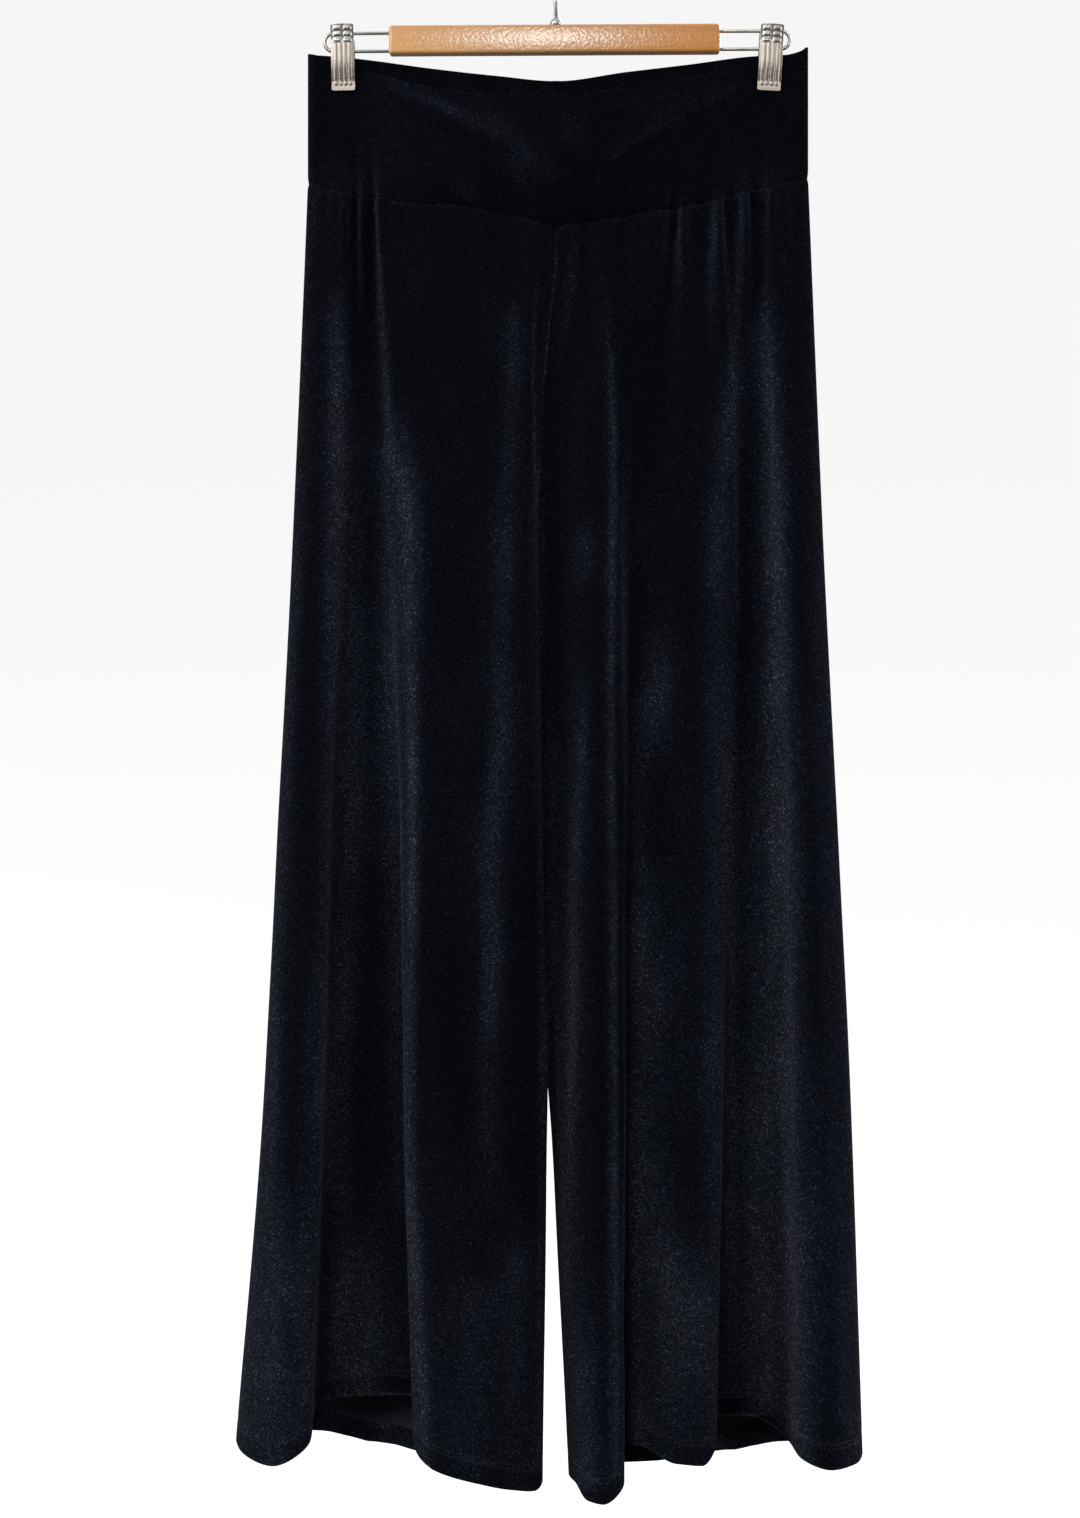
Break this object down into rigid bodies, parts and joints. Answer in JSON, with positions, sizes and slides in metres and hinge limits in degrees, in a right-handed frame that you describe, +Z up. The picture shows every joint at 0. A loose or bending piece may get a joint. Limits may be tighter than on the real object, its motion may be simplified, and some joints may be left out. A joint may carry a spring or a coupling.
{
  "type": "palazzo pants on a clip hanger",
  "caption": "Wide-legged palazzo pants of stretch velvet with a wide plain waistband, hung by clips from a wooden bar hanger with a wire hook.",
  "frame": {"origin": "inside of the hook's crown, where the hanger hangs on its rail, in the hanger's middle plane", "axes": "+Z up, +X to the wearer's left, -Y the way the wearer faces"},
  "size_m": [0.47, 0.092, 1.1756],
  "materials": {
    "velvet": "black stretch velvet with a soft sheen at grazing angles",
    "wood": "clear-lacquered light wood",
    "plated_steel": "satin nickel plate"
  },
  "bodies": {
    "root": {"waistband_front": "velvet", "waistband_back_right": "velvet", "waistband_back_left": "velvet", "leg_front_right": "velvet", "leg_front_left": "velvet", "leg_back_right": "velvet", "leg_back_left": "velvet", "hanger_bar": "wood", "hanger_hook": "plated_steel", "hook_ferrule": "plated_steel", "clip_wire_right": "plated_steel", "clip_wire_left": "plated_steel", "clip_front_right": "plated_steel", "clip_front_left": "plated_steel", "clip_back_right": "plated_steel", "clip_back_left": "plated_steel", "clip_spring_right": "plated_steel", "clip_spring_left": "plated_steel"}
  },
  "joints": []
}
